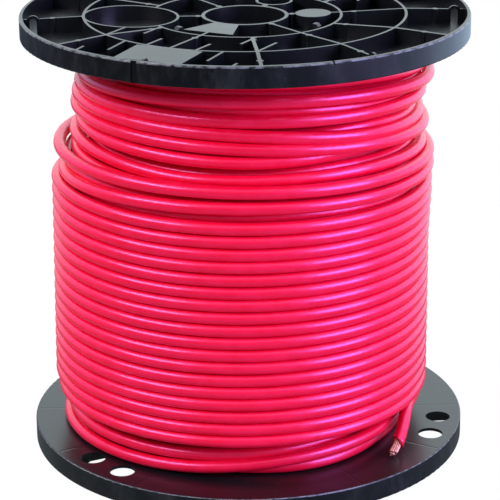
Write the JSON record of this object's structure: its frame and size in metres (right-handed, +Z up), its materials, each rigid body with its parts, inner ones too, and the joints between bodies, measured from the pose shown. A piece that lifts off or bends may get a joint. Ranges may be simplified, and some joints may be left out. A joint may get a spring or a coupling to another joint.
{
  "type": "wire spool",
  "caption": "Plastic reel with two ribbed flanges on a barrel, open along its arbor hole, wound full of stranded building wire with its cut end showing.",
  "frame": {"origin": "on the floor at the centre of the lower flange's rim, on the reel's axis", "axes": "+Z up along the reel's axis, -Y towards the side where the wire's cut end shows at the right"},
  "size_m": [0.2858, 0.2858, 0.2871],
  "materials": {
    "flange_plastic": "satin black moulded polypropylene",
    "barrel_plastic": "satin dark grey moulded plastic",
    "wire_jacket": "glossy red nylon jacket",
    "copper": "bright drawn copper"
  },
  "bodies": {
    "root": {"top_flange": "flange_plastic", "bottom_flange": "flange_plastic", "barrel": "barrel_plastic", "arbor_tube": "barrel_plastic", "inner_layers": "wire_jacket", "bottom_turns": "wire_jacket", "outer_layer": "wire_jacket", "upper_turns": "wire_jacket", "copper_strands": "copper"}
  },
  "joints": []
}
